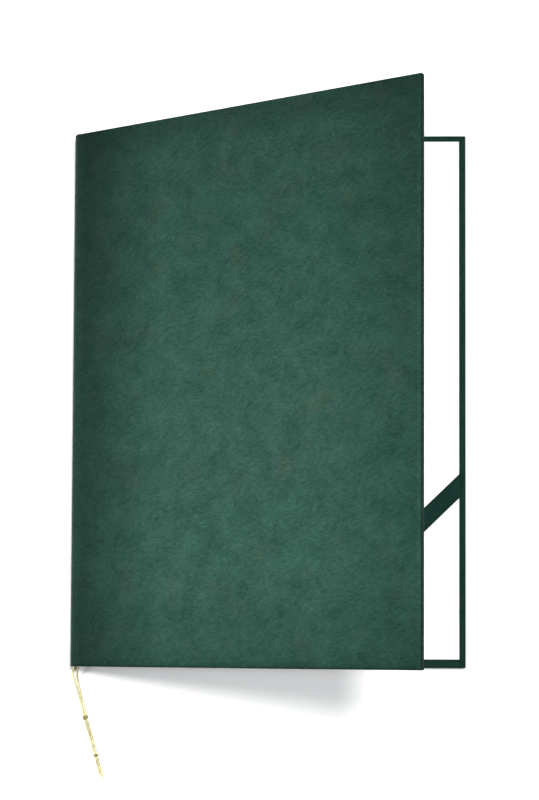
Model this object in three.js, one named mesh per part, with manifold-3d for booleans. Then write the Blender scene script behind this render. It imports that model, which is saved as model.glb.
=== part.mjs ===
// Congratulation folder: a hard A4 case with two covers, lying on its back cover, front cover part open.
// Units are millimetres. +X runs from the spine to the fore edge, +Y to the head, +Z up from the table.
// The origin is the centre of the back cover's underside.
import * as THREE from 'three';
import { mergeVertices } from 'three/addons/utils/BufferGeometryUtils.js';
import Module from 'manifold-3d';

const wasm = await Module();
wasm.setup();
const mergeDistance = 1e-5;

// Driving dimensions of the case
const coverWidth = 228;
const coverHeight = 310;
const openAngle = THREE.MathUtils.degToRad(30);
const boardThickness = 2.6;
const clothThickness = 0.45;
const liningThickness = 0.35;
const glueGap = 0.05;
const closedGap = 1.5;
const coverEdgeRadius = 0.9;
const coverCornerRadius = 1.3;
const turnInDepth = 15;
const mitreWidth = 0.3;

// Spine: the covers' spine edges stand back from the hinge line, and the cloth bulges past it
const boardToHinge = 2.2;
const spineBulge = 3.4;
const foldGap = 0.3;
const spineFlat = 0.8;
const spineLiftPull = 1.2;
const spineFrontPull = 0.6 * spineBulge;
const spineSteps = 9;

// Lining panels, set in from the cover's edges
const liningHeadBorder = 3.5;
const liningTailBorder = 5;
const liningForeBorder = 3.8;
const liningSpineBorder = 0.6;
const liningSlope = 4;

// Corner strap over the tail fore corner of the back lining
const strapWidth = 10;
const strapThickness = 0.9;
const strapReachUp = 100;
const strapReachAcross = 103;
const strapTailLength = 8.5;
const strapFold = 0.9;
const strapClearance = 0.06;
const strapOverlap = strapWidth;

// Gold cord round the spine, with two free strands at the tail
const cordDiameter = 1;
const cordSides = 8;
const innerRunFromHinge = 0.9;
const innerRunDrop = 1.2;
const outerRunFromHinge = 1.6;
const cordOverEdge = 0.65;
const cordJoinGap = 0.3;
const strandGap = 0.15;
const knotWall = 0.35;
const knotLength = 3.4;
const endKnotWall = 0.25;
const endKnotLength = 2.2;
const fringeLength = 6;
const fringeWidth = 4;
const fringeThickness = 1;
const fringeTip = 0.8;
const knotMouthRoom = 0.2;
const cordRunFromTail = 40;
const cordRunFromHead = 60;
const cordTurnLength = 2;

// Heights that follow from the layers, measured inward from a cover's outer face
const boardBottom = clothThickness + glueGap;
const boardTop = boardBottom + boardThickness;
const turnInBottom = boardTop + glueGap;
const turnInTop = turnInBottom + clothThickness;
const liningOnTurnIn = turnInTop + glueGap;
const liningOnBoard = boardTop + glueGap;
const liningTop = liningOnTurnIn + liningThickness;
const hingeHeight = liningTop + closedGap / 2;
const spineApexDrop = hingeHeight / 9;
const spineApexPull = hingeHeight / 2;

// Places along X that follow from the cover's width
const foreEdge = coverWidth / 2;
const hingeX = -coverWidth / 2 + spineBulge;
const coverSpineX = hingeX + boardToHinge;
const halfHeight = coverHeight / 2;
const boardForeX = foreEdge - clothThickness - glueGap;
const boardHalfHeight = halfHeight - clothThickness - glueGap;
const liningSpineX = coverSpineX + liningSpineBorder;
const liningForeX = foreEdge - liningForeBorder;
const liningHeadY = halfHeight - liningHeadBorder;
const liningTailY = -halfHeight + liningTailBorder;

// Colours read from the object
const clothLook = new THREE.MeshStandardMaterial({ color: 0x2f5144, roughness: 0.75, metalness: 0 });
const boardLook = new THREE.MeshStandardMaterial({ color: 0x9a958a, roughness: 0.95, metalness: 0 });
const liningLook = new THREE.MeshStandardMaterial({ color: 0xf7f7f5, roughness: 0.7, metalness: 0 });
const goldLook = new THREE.MeshStandardMaterial({ color: 0xc9a84a, roughness: 0.4, metalness: 0.7 });

// Booleans
function toSolid(geometry) {
  const bare = geometry.clone();
  for (const name of Object.keys(bare.attributes)) {
    if (name !== 'position') bare.deleteAttribute(name);
  }
  const merged = mergeVertices(bare, mergeDistance);
  return new wasm.Manifold(new wasm.Mesh({
    numProp: 3,
    vertProperties: new Float32Array(merged.attributes.position.array),
    triVerts: new Uint32Array(merged.index.array),
  }));
}

function toGeometry(solid) {
  const mesh = solid.getMesh();
  const geometry = new THREE.BufferGeometry();
  geometry.setAttribute('position', new THREE.BufferAttribute(mesh.vertProperties, 3));
  geometry.setIndex(new THREE.BufferAttribute(mesh.triVerts, 1));
  geometry.computeVertexNormals();
  return geometry;
}

// Basic shapes
function block(x0, x1, y0, y1, z0, z1) {
  const geometry = new THREE.BoxGeometry(x1 - x0, y1 - y0, z1 - z0);
  geometry.translate((x0 + x1) / 2, (y0 + y1) / 2, (z0 + z1) / 2);
  return geometry;
}

// A plate with an outline of [x, y] points, between two heights
function plate(outline, z0, z1) {
  const shape = new THREE.Shape(outline.map(([x, y]) => new THREE.Vector2(x, y)));
  const geometry = new THREE.ExtrudeGeometry(shape, { depth: z1 - z0, bevelEnabled: false });
  geometry.translate(0, 0, z0);
  return geometry;
}

// A strip with a section of [x, z] points, between two places along Y
function strip(section, y0, y1) {
  const shape = new THREE.Shape(section.map(([x, z]) => new THREE.Vector2(x, z)));
  const geometry = new THREE.ExtrudeGeometry(shape, { depth: y1 - y0, bevelEnabled: false });
  geometry.rotateX(Math.PI / 2);
  geometry.translate(0, y1, 0);
  return geometry;
}

// A slab with rounded corners in plan and rounded edges all round
function roundedSlab(x0, x1, y0, y1, z0, z1, edge, corner) {
  const inner = corner - edge;
  const left = x0 + edge;
  const right = x1 - edge;
  const low = y0 + edge;
  const high = y1 - edge;
  const shape = new THREE.Shape();
  shape.moveTo(left + inner, low);
  shape.lineTo(right - inner, low);
  shape.absarc(right - inner, low + inner, inner, -Math.PI / 2, 0);
  shape.lineTo(right, high - inner);
  shape.absarc(right - inner, high - inner, inner, 0, Math.PI / 2);
  shape.lineTo(left + inner, high);
  shape.absarc(left + inner, high - inner, inner, Math.PI / 2, Math.PI);
  shape.lineTo(left, low + inner);
  shape.absarc(left + inner, low + inner, inner, Math.PI, 1.5 * Math.PI);
  const geometry = new THREE.ExtrudeGeometry(shape, {
    depth: z1 - z0 - 2 * edge,
    bevelEnabled: true,
    bevelThickness: edge,
    bevelSize: edge,
    bevelSegments: 3,
    curveSegments: 3,
  });
  geometry.translate(0, 0, z0 + edge);
  return geometry;
}

// The front cover's pieces are the back cover's, mirrored about the hinge's height
function mirrorToFront(geometry) {
  const mirrored = geometry.index ? geometry.toNonIndexed() : geometry.clone();
  for (const name of Object.keys(mirrored.attributes)) {
    if (name !== 'position') mirrored.deleteAttribute(name);
  }
  const position = mirrored.attributes.position;
  for (let i = 0; i < position.count; i += 3) {
    const corners = [0, 2, 1].map((k) => new THREE.Vector3().fromBufferAttribute(position, i + k));
    corners.forEach((p, k) => position.setXYZ(i + k, p.x, p.y, 2 * hingeHeight - p.z));
  }
  mirrored.computeVertexNormals();
  return mirrored;
}

function mesh(name, geometry, look) {
  const piece = new THREE.Mesh(geometry, look);
  piece.name = name;
  return piece;
}

// Greyboard panel, bare at the spine
function boardGeometry() {
  return block(coverSpineX, boardForeX, -boardHalfHeight, boardHalfHeight, boardBottom, boardTop);
}

// Covering sheet of one cover: outer face, three wrapped edges and turn-ins with mitred corners
function coverClothGeometry() {
  const past = 10;
  let solid = toSolid(roundedSlab(coverSpineX - past, foreEdge, -halfHeight, halfHeight, 0, turnInTop,
    coverEdgeRadius, coverCornerRadius));
  solid = solid.subtract(toSolid(block(coverSpineX - 2 * past, coverSpineX, -coverHeight, coverHeight,
    -past, past)));
  solid = solid.subtract(toSolid(block(coverSpineX - past, boardForeX + glueGap, -boardHalfHeight - glueGap,
    boardHalfHeight + glueGap, clothThickness, turnInBottom)));
  const windowHalf = halfHeight - turnInDepth;
  solid = solid.subtract(toSolid(block(coverSpineX - past, foreEdge - turnInDepth, -windowHalf, windowHalf,
    turnInBottom - glueGap, past)));
  for (const end of [-1, 1]) {
    const reach = turnInDepth - coverEdgeRadius;
    const slit = new THREE.BoxGeometry(reach * Math.SQRT2, mitreWidth, 2 * clothThickness);
    slit.rotateZ(end * Math.PI / 4);
    slit.translate(foreEdge - turnInDepth + reach / 2, end * (windowHalf + reach / 2), turnInTop);
    solid = solid.subtract(toSolid(slit));
  }
  return solid;
}

// Lining card: lies on the turn-ins round its border and dips onto the board inside them
function liningGeometry() {
  const dipForeX = foreEdge - turnInDepth;
  const dipHalf = halfHeight - turnInDepth;
  const xs = [liningSpineX, dipForeX - liningSlope, dipForeX, liningForeX];
  const ys = [liningTailY, -dipHalf, -dipHalf + liningSlope, dipHalf - liningSlope, dipHalf, liningHeadY];
  const dips = (x, y) => x <= dipForeX - liningSlope && Math.abs(y) <= dipHalf - liningSlope;
  const positions = [];
  for (const rise of [0, liningThickness]) {
    for (const y of ys) {
      for (const x of xs) positions.push(x, y, (dips(x, y) ? liningOnBoard : liningOnTurnIn) + rise);
    }
  }
  const columns = xs.length;
  const layer = columns * ys.length;
  const index = [];
  const quad = (a, b, c, d) => index.push(a, b, c, a, c, d);
  for (let j = 0; j + 1 < ys.length; j += 1) {
    for (let i = 0; i + 1 < columns; i += 1) {
      const a = j * columns + i;
      const corners = [a, a + 1, a + columns + 1, a + columns];
      const turn = (j < ys.length / 2) ? 0 : 1;
      const [p, q, r, s] = corners.map((v, k) => corners[(k + turn) % 4]);
      quad(layer + p, layer + q, layer + r, layer + s);
      index.push(p, r, q, p, s, r);
    }
  }
  for (let i = 0; i + 1 < columns; i += 1) {
    const last = (ys.length - 1) * columns;
    quad(i, i + 1, layer + i + 1, layer + i);
    quad(last + i + 1, last + i, layer + last + i, layer + last + i + 1);
  }
  for (let j = 0; j + 1 < ys.length; j += 1) {
    const left = j * columns;
    const right = left + columns - 1;
    quad(left + columns, left, layer + left, layer + left + columns);
    quad(right, right + columns, layer + right + columns, layer + right);
  }
  const geometry = new THREE.BufferGeometry();
  geometry.setAttribute('position', new THREE.Float32BufferAttribute(positions, 3));
  geometry.setIndex(index);
  geometry.computeVertexNormals();
  return geometry;
}

// Corner strap: a flat band whose ends fold round the lining's edges and lie under it
const strapEndFore = new THREE.Vector2(liningForeX, liningTailY + strapReachUp);
const strapEndTail = new THREE.Vector2(liningForeX - strapReachAcross, liningTailY);
const strapAlong = strapEndFore.clone().sub(strapEndTail).normalize();

// Outline of the band from one offset to another past a lining edge, both measured square to the edge
function bandOutline(anchor, edgeNormal, direction, from, to, margin) {
  const edgeAlong = new THREE.Vector2(-edgeNormal.y, edgeNormal.x);
  const reach = (strapWidth / 2 + margin) / Math.abs(direction.dot(edgeNormal));
  const step = direction.clone().multiplyScalar(1 / direction.dot(edgeNormal));
  const at = (offset, sign) => {
    const point = anchor.clone().addScaledVector(step, offset);
    return point.addScaledVector(edgeAlong, sign * reach);
  };
  return [at(from, 1), at(from, -1), at(to, -1), at(to, 1)].map((p) => [p.x, p.y]);
}

// The strap as plates that join: at each end the band, its fold and the tail under the lining
function strapPlates(margin) {
  const bandBottom = liningTop + glueGap - margin;
  const bandTop = liningTop + glueGap + strapThickness + margin;
  const tailBottom = turnInBottom - margin;
  const tailTop = liningOnTurnIn - glueGap / 2 + margin;
  const span = strapEndFore.distanceTo(strapEndTail);
  const ends = [
    { anchor: strapEndFore, normal: new THREE.Vector2(1, 0), direction: strapAlong.clone() },
    { anchor: strapEndTail, normal: new THREE.Vector2(0, -1), direction: strapAlong.clone().negate() },
  ];
  return ends.flatMap(({ anchor, normal, direction }) => {
    const middle = -(span / 2 + strapOverlap) * direction.dot(normal);
    const outer = strapFold + margin;
    const foldAnchor = anchor.clone().addScaledVector(direction, strapFold / direction.dot(normal));
    const under = direction.clone().negate().addScaledVector(normal, 2 * direction.dot(normal));
    const tailEnd = -strapTailLength - strapFold - margin;
    return [
      plate(bandOutline(anchor, normal, direction, middle, outer, margin), bandBottom, bandTop),
      plate(bandOutline(anchor, normal, direction, glueGap - margin, outer, margin), tailBottom, bandTop),
      plate(bandOutline(foldAnchor, normal, under, tailEnd, margin, margin), tailBottom, tailTop),
    ];
  });
}

// Spine cloth: one sheet from the back cover's face, round the bulge, to the front cover's face
function turnAboutHinge(x, z) {
  const c = Math.cos(openAngle);
  const s = Math.sin(openAngle);
  return new THREE.Vector2(x * c - z * s, x * s + z * c);
}

function spineCurve() {
  const start = new THREE.Vector2(boardToHinge, -hingeHeight);
  const lift = new THREE.Vector2(boardToHinge - spineFlat, -hingeHeight);
  const apex = new THREE.Vector2(-spineBulge, -spineApexDrop);
  const end = turnAboutHinge(boardToHinge, hingeHeight);
  const along = new THREE.Vector2(Math.cos(openAngle), Math.sin(openAngle));
  const curve = new THREE.CurvePath();
  curve.add(new THREE.LineCurve(start, lift));
  curve.add(new THREE.CubicBezierCurve(lift, new THREE.Vector2(lift.x - spineLiftPull, lift.y),
    new THREE.Vector2(apex.x, apex.y - spineApexPull), apex));
  curve.add(new THREE.CubicBezierCurve(apex, new THREE.Vector2(apex.x, apex.y + spineApexPull),
    end.clone().addScaledVector(along, -spineFrontPull), end.clone().addScaledVector(along, -foldGap)));
  return curve;
}

// Section of the spine cloth between two depths inside its outer face
function spineSection(outerDepth, innerDepth) {
  const curve = spineCurve();
  const outer = [];
  const inner = [];
  curve.curves.forEach((part, which) => {
    const steps = which === 0 ? 1 : spineSteps;
    for (let i = which === 0 ? 0 : 1; i <= steps; i += 1) {
      const p = part.getPoint(i / steps);
      const t = part.getTangent(i / steps);
      const into = new THREE.Vector2(t.y, -t.x);
      outer.push(p.clone().addScaledVector(into, outerDepth));
      inner.push(p.clone().addScaledVector(into, innerDepth));
    }
  });
  return [...outer, ...inner.reverse()].map((p) => [hingeX + p.x, hingeHeight + p.y]);
}

function spineClothGeometry() {
  const layer = spineSection(0, clothThickness);
  const fold = spineSection(clothThickness / 2, 2 * clothThickness);
  const ordered = (section) => {
    const points = section.map(([x, z]) => new THREE.Vector2(x, z));
    return THREE.ShapeUtils.isClockWise(points) ? section.reverse() : section;
  };
  let solid = toSolid(strip(ordered(layer), -halfHeight, halfHeight));
  solid = solid.add(toSolid(strip(ordered(fold), -halfHeight, -halfHeight + turnInDepth)));
  solid = solid.add(toSolid(strip(ordered(fold), halfHeight - turnInDepth, halfHeight)));
  return toGeometry(solid);
}

// A smooth route with the same number of steps between each two of its points
class CordRoute extends THREE.CatmullRomCurve3 {
  getPointAt(u, target) {
    return this.getPoint(u, target);
  }

  getTangentAt(u, target) {
    return this.getTangent(u, target);
  }
}

// Cords: an eight-sided tube along a route through chosen points
function cordGeometry(points, stepsEach) {
  const route = new CordRoute(points, false, 'centripetal');
  const section = new THREE.Shape();
  for (let i = 0; i < cordSides; i += 1) {
    const angle = (i / cordSides) * 2 * Math.PI;
    const x = (cordDiameter / 2) * Math.cos(angle);
    const y = (cordDiameter / 2) * Math.sin(angle);
    if (i === 0) section.moveTo(x, y);
    else section.lineTo(x, y);
  }
  section.closePath();
  const steps = stepsEach * (points.length - 1);
  return new THREE.ExtrudeGeometry(section, { steps, extrudePath: route, bevelEnabled: false });
}

// A point given by its offset from the hinge line, its place along Y and its height over the table
const fromHinge = (dx, y, z) => new THREE.Vector3(hingeX + dx, y, z);
const onTable = cordDiameter / 2;
const innerRunHeight = hingeHeight - innerRunDrop;

// The run inside the spine, over the head edge and back down outside it along the table
const headY = halfHeight + cordOverEdge;
const tailY = -halfHeight - cordOverEdge;
const loopRoute = [
  fromHinge(innerRunFromHinge, tailY, innerRunHeight),
  fromHinge(innerRunFromHinge, tailY + cordRunFromTail, innerRunHeight),
  fromHinge(innerRunFromHinge, headY - cordRunFromHead, innerRunHeight),
  fromHinge(innerRunFromHinge, headY - cordTurnLength, innerRunHeight),
  fromHinge(innerRunFromHinge - 0.05, headY, innerRunHeight - 0.2),
  fromHinge(0.2, headY + 0.5, innerRunHeight - 1),
  fromHinge(-0.7, headY + 0.5, onTable + 1),
  fromHinge(-outerRunFromHinge + 0.1, headY, onTable + 0.1),
  fromHinge(-outerRunFromHinge, headY - cordTurnLength, onTable),
  fromHinge(-outerRunFromHinge, headY - cordRunFromHead, onTable),
  fromHinge(-outerRunFromHinge, tailY + cordRunFromTail, onTable),
  fromHinge(-outerRunFromHinge, tailY, onTable),
];

// Free strands lie on the table, side by side through two knots
const knotPlace = new THREE.Vector3(-105.5, -184.2, 0);
const endKnotPlace = new THREE.Vector3(-99.2, -206.2, 0);
const strandTip = new THREE.Vector3(-97.9, -211.4, 0);
const knotHoleHalfWidth = cordDiameter + 1.5 * strandGap;
const knotHoleHalfHeight = cordDiameter / 2 + strandGap;
const knotHeight = knotHoleHalfHeight + knotWall;
const endKnotHeight = knotHoleHalfHeight + endKnotWall;
const strandAlong = endKnotPlace.clone().sub(knotPlace).normalize();
const strandAcross = new THREE.Vector3(-strandAlong.y, strandAlong.x, 0);
const halfPitch = (cordDiameter + strandGap) / 2;

function strandThrough(place, height, before, after, sign) {
  const side = strandAcross.clone().multiplyScalar(sign * halfPitch);
  const at = (offset, z) => place.clone().addScaledVector(strandAlong, offset).add(side).setZ(z);
  return [at(-before, height), at(after, height)];
}

function strandRoute(start, sign) {
  const side = strandAcross.clone().multiplyScalar(sign * halfPitch);
  const knotHalf = knotLength / 2 + knotMouthRoom;
  const endHalf = endKnotLength / 2 + knotMouthRoom;
  const middle = knotPlace.clone().lerp(endKnotPlace, 0.5).add(side).setZ(onTable);
  return [
    ...start,
    ...strandThrough(knotPlace, knotHeight, knotHalf, knotHalf, sign),
    middle,
    ...strandThrough(endKnotPlace, endKnotHeight, endHalf, endHalf, sign),
    strandTip.clone().add(side).setZ(onTable),
  ];
}

const innerStrandStart = [
  fromHinge(innerRunFromHinge, tailY - cordJoinGap, innerRunHeight),
  fromHinge(innerRunFromHinge - 0.2, tailY - 2, innerRunHeight - 0.4),
  fromHinge(0.35, tailY - 4.4, innerRunHeight - 2.1),
  fromHinge(0.7, tailY - 8, onTable + 0.15),
  fromHinge(2, tailY - 14, onTable),
  fromHinge(4, tailY - 21.5, onTable),
];
const outerStrandStart = [
  fromHinge(-outerRunFromHinge, tailY - cordJoinGap, onTable),
  fromHinge(-2.3, tailY - 1.8, onTable),
  fromHinge(-2.5, tailY - 3.6, onTable),
  fromHinge(-1.6, tailY - 7, onTable),
  fromHinge(0.2, tailY - 13, onTable),
  fromHinge(2.6, tailY - 21, onTable),
];

// A knot: a rounded ring drawn tight round both strands, its wall thinner at the two mouths
function knotGeometry(place, height, wall, length) {
  const around = 16;
  const arcSteps = 6;
  const mouthShare = 0.3;
  const rows = [];
  for (let i = 0; i <= arcSteps; i += 1) {
    const angle = (i / arcSteps - 0.5) * Math.PI;
    const thickness = wall * (mouthShare + (1 - mouthShare) * Math.cos(angle));
    rows.push([(length / 2) * Math.sin(angle), thickness]);
  }
  rows.push([length / 2, 0], [-length / 2, 0]);
  const positions = [];
  for (const [offset, thickness] of rows) {
    for (let k = 0; k < around; k += 1) {
      const angle = (k / around) * 2 * Math.PI;
      positions.push(offset, (knotHoleHalfWidth + thickness) * Math.cos(angle));
      positions.push((knotHoleHalfHeight + thickness) * Math.sin(angle));
    }
  }
  const index = [];
  rows.forEach((row, r) => {
    const next = (r + 1) % rows.length;
    for (let k = 0; k < around; k += 1) {
      const turn = (k + 1) % around;
      const [a, b, c, d] = [r * around + k, r * around + turn, next * around + turn, next * around + k];
      index.push(a, b, c, a, c, d);
    }
  });
  const geometry = new THREE.BufferGeometry();
  geometry.setAttribute('position', new THREE.Float32BufferAttribute(positions, 3));
  geometry.setIndex(index);
  geometry.rotateZ(Math.atan2(strandAlong.y, strandAlong.x));
  geometry.translate(place.x, place.y, height);
  geometry.computeVertexNormals();
  return geometry;
}

// The frayed ends fan out flat on the table past the strands' tips
function fringeGeometry() {
  const root = strandTip.clone().addScaledVector(strandAlong, cordJoinGap + knotMouthRoom);
  const half = cordDiameter;
  const points = [[0, -half], [fringeLength, -fringeWidth / 2], [fringeLength + fringeTip, 0],
    [fringeLength, fringeWidth / 2], [0, half]];
  const outline = points.map(([along, across]) => {
    const p = root.clone().addScaledVector(strandAlong, along).addScaledVector(strandAcross, across);
    return [p.x, p.y];
  });
  return plate(outline, 0, fringeThickness);
}

// Assembly
const folder = new THREE.Group();
folder.name = 'congratulation_folder';

const joined = (plates) => plates.map(toSolid).reduce((whole, piece) => whole.add(piece));
const strap = joined(strapPlates(0));
const coverCloth = coverClothGeometry();

// The back cover's turn-ins are notched for the strap's folds and tails
const notchedCloth = coverCloth.subtract(joined(strapPlates(strapClearance)));

folder.add(mesh('back_cover_cloth', toGeometry(notchedCloth), clothLook));
folder.add(mesh('back_board', boardGeometry(), boardLook));
folder.add(mesh('back_lining', liningGeometry(), liningLook));
folder.add(mesh('corner_strap', toGeometry(strap), clothLook));
folder.add(mesh('spine_cloth', spineClothGeometry(), clothLook));

// The front cover turns about the hinge line at the spine
const frontCover = new THREE.Group();
frontCover.position.set(hingeX, 0, hingeHeight);
frontCover.rotation.y = -openAngle;
const fromHingeLine = new THREE.Group();
fromHingeLine.position.set(-hingeX, 0, -hingeHeight);
fromHingeLine.add(mesh('front_cover_cloth', mirrorToFront(toGeometry(coverCloth)), clothLook));
fromHingeLine.add(mesh('front_board', mirrorToFront(boardGeometry()), boardLook));
fromHingeLine.add(mesh('front_lining', mirrorToFront(liningGeometry()), liningLook));
frontCover.add(fromHingeLine);
folder.add(frontCover);

folder.add(mesh('spine_cord', cordGeometry(loopRoute, 3), goldLook));
folder.add(mesh('cord_strand_inner', cordGeometry(strandRoute(innerStrandStart, 1), 2), goldLook));
folder.add(mesh('cord_strand_outer', cordGeometry(strandRoute(outerStrandStart, -1), 2), goldLook));
folder.add(mesh('cord_knot', knotGeometry(knotPlace, knotHeight, knotWall, knotLength), goldLook));
folder.add(mesh('cord_end_knot', knotGeometry(endKnotPlace, endKnotHeight, endKnotWall, endKnotLength),
  goldLook));
folder.add(mesh('cord_fringe', fringeGeometry(), goldLook));

folder.updateMatrixWorld(true);

export default folder;
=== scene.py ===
import math

import bmesh
import bpy
import numpy as np
from mathutils import Matrix, Vector


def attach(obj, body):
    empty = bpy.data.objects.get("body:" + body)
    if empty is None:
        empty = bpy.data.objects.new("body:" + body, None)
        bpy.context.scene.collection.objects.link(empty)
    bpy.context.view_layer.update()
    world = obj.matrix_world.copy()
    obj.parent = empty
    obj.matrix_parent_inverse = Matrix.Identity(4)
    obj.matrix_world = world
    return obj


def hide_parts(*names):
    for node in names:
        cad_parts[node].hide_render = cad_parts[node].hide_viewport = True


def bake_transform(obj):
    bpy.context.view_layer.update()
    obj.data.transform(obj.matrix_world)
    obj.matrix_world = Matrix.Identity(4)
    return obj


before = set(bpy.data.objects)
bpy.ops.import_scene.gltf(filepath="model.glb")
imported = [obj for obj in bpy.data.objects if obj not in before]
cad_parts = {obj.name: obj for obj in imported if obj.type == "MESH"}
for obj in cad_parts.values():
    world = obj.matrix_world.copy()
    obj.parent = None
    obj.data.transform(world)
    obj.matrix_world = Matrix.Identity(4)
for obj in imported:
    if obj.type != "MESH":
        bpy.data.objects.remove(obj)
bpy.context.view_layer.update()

MM = 0.001

# Dimensions of the case, in millimetres, the same as in the part's source
COVER_WIDTH = 228.0
COVER_HEIGHT = 310.0
OPEN_ANGLE = math.radians(30)
CLOTH = 0.45
LINING = 0.35
TURN_IN_BOTTOM = 3.15
TURN_IN_TOP = 3.6
LINING_ON_BOARD = 3.15
LINING_ON_TURN_IN = 3.65
LINING_TOP = 4.0
TURN_IN_DEPTH = 15.0
HINGE_X = -110.6
HINGE_Z = 4.75
BOARD_TO_HINGE = 2.2
SPINE_BULGE = 3.4
COVER_SPINE_X = HINGE_X + BOARD_TO_HINGE
FORE_X = COVER_WIDTH / 2
HALF_HEIGHT = COVER_HEIGHT / 2
LINING_FROM_SPINE = 0.6
FORE_BORDER = 3.8
HEAD_BORDER = 3.5
TAIL_BORDER = 5.0
LINING_SPINE_X = COVER_SPINE_X + LINING_FROM_SPINE
LINING_FORE_X = FORE_X - FORE_BORDER
LINING_HEAD_Y = HALF_HEIGHT - HEAD_BORDER
LINING_TAIL_Y = -HALF_HEIGHT + TAIL_BORDER
STRAP_WIDTH = 10.0
STRAP_REACH_UP = 100.0
STRAP_REACH_ACROSS = 103.0
CORD_DIAMETER = 1.0
CORD_PAST_EDGE = 0.65
CORD_BELOW_HINGE = 1.2
HEAD_Y = HALF_HEIGHT + CORD_PAST_EDGE
TAIL_Y = -HALF_HEIGHT - CORD_PAST_EDGE
INNER_RUN_HEIGHT = HINGE_Z - CORD_BELOW_HINGE
ON_TABLE = CORD_DIAMETER / 2

# Camera, at the photograph's viewing angle
CAMERA_PLACE = (0.02654, -0.14384, 1.04867)
CAMERA_TURN = (0.048658, 0.024427, 0.004511)
CAMERA_LENS = 81.442
CAMERA_SENSOR = 36.0
CAMERA_SHIFT = 0.2


def make_camera():
    data = bpy.data.cameras.new("camera")
    data.sensor_width = CAMERA_SENSOR
    data.lens = CAMERA_LENS
    data.shift_y = CAMERA_SHIFT
    camera = bpy.data.objects.new("camera", data)
    camera.location = CAMERA_PLACE
    camera.rotation_euler = CAMERA_TURN
    bpy.context.scene.collection.objects.link(camera)
    bpy.context.scene.camera = camera


make_camera()


# Meshes, in which points closer than a merge distance in millimetres become one
MERGE = 0.0002
WIDE_MERGE = 0.001


def make_object(name, mesh):
    obj = bpy.data.objects.new(name, mesh)
    bpy.context.scene.collection.objects.link(obj)
    return obj


def mesh_from_grids(name, grids, merge=MERGE):
    """One mesh from grids of (points in mm, sheet coordinates in mm), each rows by columns."""
    points = []
    coords = []
    faces = []
    for grid, sheet in grids:
        rows, columns = grid.shape[:2]
        base = len(points)
        points.extend(grid.reshape(-1, 3).tolist())
        coords.extend(sheet.reshape(-1, 2).tolist())
        for r in range(rows - 1):
            for c in range(columns - 1):
                a = base + r * columns + c
                faces.append((a, a + 1, a + columns + 1, a + columns))
    mesh = bpy.data.meshes.new(name)
    mesh.from_pydata([tuple(x * MM for x in p) for p in points], [], faces)
    layer = mesh.uv_layers.new(name="sheet")
    for loop in mesh.loops:
        u, v = coords[loop.vertex_index]
        layer.data[loop.index].uv = (u * MM, v * MM)
    bm = bmesh.new()
    bm.from_mesh(mesh)
    bmesh.ops.remove_doubles(bm, verts=bm.verts, dist=merge * MM)
    bmesh.ops.recalc_face_normals(bm, faces=bm.faces)
    bm.to_mesh(mesh)
    bm.free()
    return mesh


def fill_openings(mesh):
    """Close the holes that the grids leave, and turn all faces outwards."""
    bm = bmesh.new()
    bm.from_mesh(mesh)
    bmesh.ops.holes_fill(bm, edges=[e for e in bm.edges if e.is_boundary], sides=0)
    bmesh.ops.recalc_face_normals(bm, faces=bm.faces)
    bm.to_mesh(mesh)
    bm.free()


def shade(mesh, angle):
    mesh.shade_smooth()
    mesh.set_sharp_from_angle(angle=math.radians(angle))


def spaced(start, end, step):
    return np.linspace(start, end, max(2, int(round(abs(end - start) / step)) + 1))


# Routes: the smooth curve that the part's source draws through the same points
def smooth_route(points, steps):
    p = [np.array(q, float) for q in points]
    p = [2 * p[0] - p[1]] + p + [2 * p[-1] - p[-2]]
    out = [p[1]]
    for i in range(1, len(p) - 2):
        p0, p1, p2, p3 = p[i - 1:i + 3]
        d0, d1, d2 = (np.linalg.norm(b - a) ** 0.5 for a, b in ((p0, p1), (p1, p2), (p2, p3)))
        t1 = ((p1 - p0) / d0 - (p2 - p0) / (d0 + d1) + (p2 - p1) / d1) * d1
        t2 = ((p2 - p1) / d1 - (p3 - p1) / (d1 + d2) + (p3 - p2) / d2) * d1
        for s in range(1, steps + 1):
            t = s / steps
            out.append(p1 + t1 * t + (3 * (p2 - p1) - 2 * t1 - t2) * t * t
                       + (2 * (p1 - p2) + t1 + t2) * t ** 3)
    return np.array(out)


def resample(route, step):
    lengths = np.concatenate([[0], np.cumsum(np.linalg.norm(np.diff(route, axis=0), axis=1))])
    at = np.linspace(0, lengths[-1], int(round(lengths[-1] / step)) + 1)
    return np.stack([np.interp(at, lengths, route[:, k]) for k in range(3)], axis=1), at


def from_hinge(dx, y, z):
    return (HINGE_X + dx, y, z)


LOOP_ROUTE = [
    from_hinge(0.9, TAIL_Y - 0.3, INNER_RUN_HEIGHT),
    from_hinge(0.9, TAIL_Y + 40, INNER_RUN_HEIGHT),
    from_hinge(0.9, HEAD_Y - 60, INNER_RUN_HEIGHT),
    from_hinge(0.9, HEAD_Y - 2, INNER_RUN_HEIGHT),
    from_hinge(0.85, HEAD_Y, INNER_RUN_HEIGHT - 0.2),
    from_hinge(0.2, HEAD_Y + 0.5, INNER_RUN_HEIGHT - 1),
    from_hinge(-0.7, HEAD_Y + 0.5, ON_TABLE + 1),
    from_hinge(-1.5, HEAD_Y, ON_TABLE + 0.1),
    from_hinge(-1.6, HEAD_Y - 2, ON_TABLE),
    from_hinge(-1.6, HEAD_Y - 60, ON_TABLE),
    from_hinge(-1.6, TAIL_Y + 40, ON_TABLE),
    from_hinge(-1.6, TAIL_Y - 0.3, ON_TABLE),
]
INNER_STRAND_START = [
    from_hinge(0.9, TAIL_Y - 0.3, INNER_RUN_HEIGHT),
    from_hinge(0.7, TAIL_Y - 2, INNER_RUN_HEIGHT - 0.4),
    from_hinge(0.35, TAIL_Y - 4.4, INNER_RUN_HEIGHT - 2.1),
    from_hinge(0.7, TAIL_Y - 8, ON_TABLE + 0.15),
    from_hinge(2, TAIL_Y - 14, ON_TABLE),
    from_hinge(4, TAIL_Y - 21.5, ON_TABLE),
]
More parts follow.
